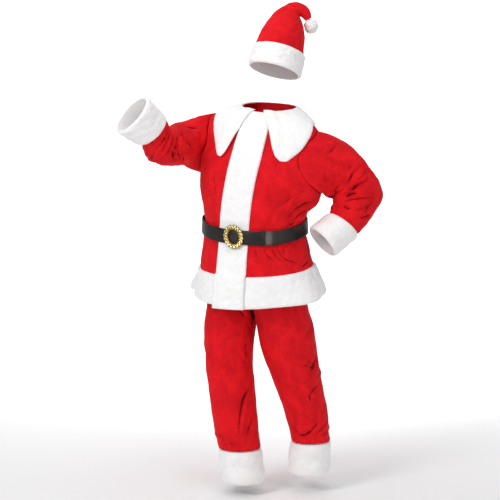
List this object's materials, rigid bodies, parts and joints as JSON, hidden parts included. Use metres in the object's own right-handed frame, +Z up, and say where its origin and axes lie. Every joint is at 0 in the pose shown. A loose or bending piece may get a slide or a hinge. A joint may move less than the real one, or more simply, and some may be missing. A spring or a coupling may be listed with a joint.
{
  "type": "santa suit",
  "caption": "Red velour santa suit in its worn pose: hat with pompom, belted jacket with plush collar, placket, hem and cuffs, and trousers with plush ankle cuffs.",
  "frame": {"origin": "middle of the neck opening, where the jacket hangs on the wearer's shoulders", "axes": "+Z up, -Y out of the chest, +X to the wearer's left"},
  "size_m": [0.9007, 0.7168, 1.964],
  "materials": {
    "red_velour": "short brushed nap, soft sheen",
    "white_plush": "short dense pile, matte",
    "belt_vinyl": "fine grained vinyl, soft sheen",
    "buckle_gold": "bright gold coloured plating"
  },
  "bodies": {
    "root": {"front_right": "red_velour", "front_left": "red_velour", "back": "red_velour", "hem_band_right": "white_plush", "hem_band_left": "white_plush", "hem_band_back": "white_plush", "placket": "white_plush", "collar_right": "white_plush", "collar_left": "white_plush", "sleeve_right": "red_velour", "cuff_right": "white_plush", "sleeve_left": "red_velour", "cuff_left": "white_plush", "belt": "belt_vinyl", "belt_tip": "belt_vinyl", "belt_keeper": "belt_vinyl", "buckle": "buckle_gold", "leg_right": "red_velour", "leg_left": "red_velour", "waistband": "red_velour", "trouser_cuff_right": "white_plush", "trouser_cuff_left": "white_plush", "hat_cone": "red_velour", "hat_band": "white_plush", "pompom": "white_plush"}
  },
  "joints": []
}
